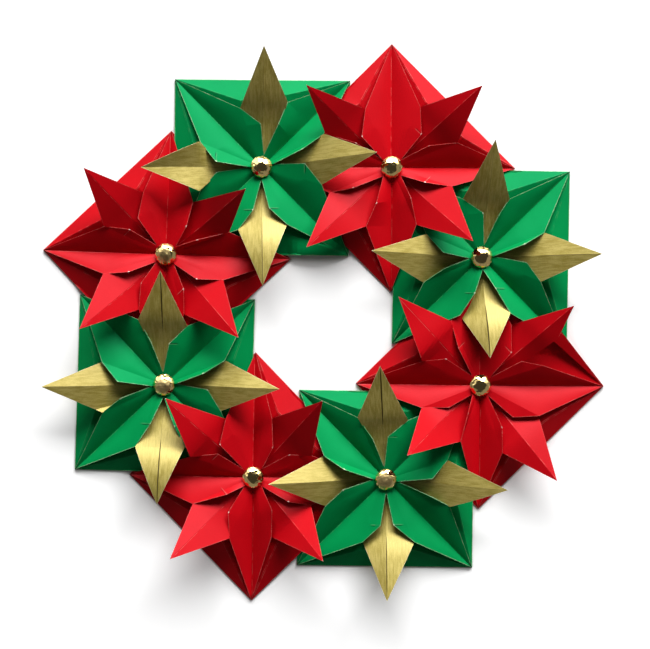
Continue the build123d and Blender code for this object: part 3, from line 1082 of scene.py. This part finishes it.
redPaper = paperMaterial("redPaper", redLook)
greenPaper = paperMaterial("greenPaper", greenLook)
goldFoil = foilMaterial("goldFoil", goldLook)
brass = brassMaterial("polishedBrass", brassLook)
print("materials made")


# Flowers

def foldedSheets(name, flower, middle, papers):
    turn = flower["turn"]
    face, back = 0, len(papers) - 1  # the petals at the sides show the sheet's other side
    sheets = newSheets()
    petals = {side: readPetal(flower, side, middle, turn) for side in sideAngle}
    for side in ("outer", "left", "inner"):
        addStrip(sheets, side, petals, middle, turn, flower["arch"] if side == "inner" else 0, face)
    for petal in petals.values():
        addSidePetal(sheets, petal, middle, back)
    for corner in cornerBetween:
        addCornerPetal(sheets, corner, petals, middle, turn, face)
    piece = meshFromSheets(name, sheets, papers)
    faceUp(piece.data)
    solid = piece.modifiers.new("thickness", "SOLIDIFY")
    solid.thickness = fold["paper"] * mm
    solid.offset = -1
    settle(piece)
    shadeSmooth(piece, fold["sharpAngle"])
    return piece


def pressedBase(name, flower, middle, paper, seed):
    base = addObject(name, bpy.data.meshes.new(name))
    modifier = base.modifiers.new("layers", "NODES")
    modifier.node_group = pressedLayers
    for key, size in layers.items():
        setInput(modifier, inputName(key), size * mm)
    for title, amount in stack.items():
        setInput(modifier, title, amount)
    setInput(modifier, "Arch", flower["arch"] * mm)
    setInput(modifier, "Seed", seed)
    setInput(modifier, "Paper", paper)
    settle(base)
    turned = Matrix.Rotation(math.radians(flower["turn"]), 4, "Z")
    base.data.transform(Matrix.Translation(middle * mm) @ turned)
    return base


def buildFlower(index, flower):
    low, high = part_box(f"fastener_head_{index + 1}")
    middle = raised((low + high) / 2 / mm, 0)
    green = flower["node"].startswith("green")
    papers = [greenPaper, goldFoil] if green else [redPaper]
    name = flower["node"].replace("_flower_", "Flower")
    piece = foldedSheets(name, flower, middle, papers)
    base = pressedBase(name + "Layers", flower, middle, papers[0], firstSeed + index)
    with bpy.context.temp_override(active_object=piece, selected_editable_objects=[piece, base]):
        bpy.ops.object.join()
    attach(piece, "root")
    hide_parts(flower["node"])


pressedLayers = layersTree()
for index, flower in enumerate(flowers):
    buildFlower(index, flower)
print("flowers folded")


# Fasteners

# A hollow dome, turned round its own axis, and how near each point lies to its dull cap
def headMesh():
    sphere = (head["radius"] ** 2 + head["rise"] ** 2) / (2 * head["rise"])
    low = head["rise"] - sphere
    reach = math.asin(head["radius"] / sphere)
    points = head["profilePoints"]
    narrowed = 1 - head["wall"] / head["radius"]
    outer = []
    inner = []
    for point in range(points + 1):
        angle = reach * point / points
        radius, height = sphere * math.sin(angle), low + sphere * math.cos(angle)
        outer.append((radius, height))
        inner.append((radius * narrowed, max(height - head["wall"], head["leastHeight"])))
    build = bmesh.new()
    rings = []
    turns = head["turnPoints"]
    for radius, height in outer + inner[::-1]:
        if radius < 1e-6:
            rings.append([build.verts.new((0, 0, height * mm))] * turns)
            continue
        places = [polar(radius, 360 * step / turns) for step in range(turns)]
        rings.append([build.verts.new(raised(place, height) * mm) for place in places])
    for above, below in zip(rings, rings[1:]):
        for step in range(turns):
            after = (step + 1) % turns
            corners = list(dict.fromkeys((above[step], below[step], below[after], above[after])))
            build.faces.new(corners)
    bmesh.ops.recalc_face_normals(build, faces=build.faces)
    mesh = bpy.data.meshes.new("fastenerHead")
    build.to_mesh(mesh)
    build.free()
    capMiddle = Vector((-head["dullShift"], -head["dullShift"], 0)) * mm
    spread = [raised(point.co - capMiddle, 0).length / (head["radius"] * mm) for point in mesh.vertices]
    storeMap(mesh, "capMap", spread)
    return mesh


def buildHeads():
    one = bpy.data.objects.new("fastenerHead", headMesh())
    seats = []
    leans = []
    for index in range(len(flowers)):
        low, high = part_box(f"fastener_head_{index + 1}")
        seats.append(raised((low + high) / 2, low.z))
        around = math.radians(head["leanTurn"] * index)
        leans += [head["lean"] * math.sin(around), head["lean"] * math.cos(around), 0]
    points = bpy.data.meshes.new("fastenerHeads")
    points.from_pydata(seats, [], [])
    storeMap(points, "lean", leans)
    storeMap(points, "dullness", head["dullness"])
    heads = addObject("fastenerHeads", points)
    modifier = heads.modifiers.new("heads", "NODES")
    modifier.node_group = headsTree()
    setInput(modifier, "Head", one)
    setInput(modifier, "Brass", brass)
    settle(heads)
    bpy.data.objects.remove(one)
    shadeSmooth(heads, head["sharpAngle"])
    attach(heads, "root")
    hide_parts(*[f"fastener_head_{index + 1}" for index in range(len(flowers))])


buildHeads()
for index in range(len(flowers)):
    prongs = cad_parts[f"fastener_prongs_{index + 1}"]
    prongs.data.materials.clear()
    prongs.data.materials.append(brass)
print("fasteners set")


# Table, light and camera

studio = {
    "tableSize": 3.0,
    "tableColour": (0.95, 0.95, 0.95, 1),
    "tableGlow": 0.25,
    "contactReach": 0.01,
    "contactShades": (0.7, 0.97),
    "keyPower": 100.0,
    "keySize": (2.2, 0.8),
    "keyPlace": (0.36, 1.74, 0.92),
    "skyColour": (1.0, 0.99, 0.97, 1),
    "skyStrength": 0.08,
    "mirroredSides": 0.3,
    "mirroredWindow": 2.6,
    "mirroredCeiling": 0.05,
    "windowBand": (0.3, 0.5),
    "ceilingBand": (0.5, 0.66),
}


def buildStage():
    half = studio["tableSize"] / 2
    mesh = bpy.data.meshes.new("table")
    corners = [(-half, -half, 0), (half, -half, 0), (half, half, 0), (-half, half, 0)]
    mesh.from_pydata(corners, [], [(0, 1, 2, 3)])
    table = addObject("table", mesh)
    material, tree, shader = newMaterial("whiteTable", Roughness=0.9, Base_Color=studio["tableColour"])
    shader.inputs["Emission Color"].default_value = (1, 1, 1, 1)
    path = addNode(tree, "ShaderNodeLightPath")
    mirrored = maths(tree, "MAXIMUM", path.outputs["Is Glossy Ray"], path.outputs["Is Transmission Ray"])
    seen = maths(tree, "MAXIMUM", path.outputs["Is Camera Ray"], mirrored)
    # the glow dies out close beside the paper, a painted contact shade that keeps its contact shadow dark
    near = addNode(tree, "ShaderNodeAmbientOcclusion", {"Distance": studio["contactReach"]})
    openness = ramp(tree, near.outputs["AO"], *studio["contactShades"])
    glow = product(tree, seen, studio["tableGlow"], openness)
    tree.links.new(glow, shader.inputs["Emission Strength"])
    mesh.materials.append(material)


def buildLight():
    key = bpy.data.lights.new("window", "AREA")
    key.shape = "RECTANGLE"
    key.size, key.size_y = studio["keySize"]
    key.energy = studio["keyPower"]
    lamp = addObject("window", key)
    lamp.location = studio["keyPlace"]
    lamp.rotation_euler = (-Vector(studio["keyPlace"])).to_track_quat("-Z", "Y").to_euler()

    world = bpy.data.worlds.new("room")
    bpy.context.scene.world = world
    world.use_nodes = True
    tree = world.node_tree
    sky = tree.nodes["Background"]
    sky.inputs["Color"].default_value = studio["skyColour"]
    direction = addNode(tree, "ShaderNodeTexCoord").outputs["Generated"]
    along, height = addNode(tree, "ShaderNodeSeparateXYZ", {0: direction}).outputs[1:]
    path = addNode(tree, "ShaderNodeLightPath")
    around = ramp(tree, along, *studio["windowBand"], studio["mirroredSides"], studio["mirroredWindow"])
    overhead = ramp(tree, height, *studio["ceilingBand"])
    mirrored = blendedValue(tree, overhead, around, studio["mirroredCeiling"])
    plain = blendedValue(tree, path.outputs["Is Glossy Ray"], studio["skyStrength"], mirrored)
    seen = blendedValue(tree, path.outputs["Is Camera Ray"], plain, 1.0)
    tree.links.new(seen, sky.inputs["Strength"])


def buildCamera():
    lens = bpy.data.cameras.new("camera")
    lens.sensor_width = camera["sensor"]
    lens.lens = camera["sensor"] * camera["height"] / camera["pictureWidth"]
    lens.clip_start = camera["nearest"]
    viewer = addObject("camera", lens)
    viewer.location = (camera["aimX"] * mm, camera["aimY"] * mm, camera["height"] * mm)
    bpy.context.scene.camera = viewer


buildStage()
buildLight()
buildCamera()
bpy.context.scene.view_settings.view_transform = "Standard"
print("stage set")
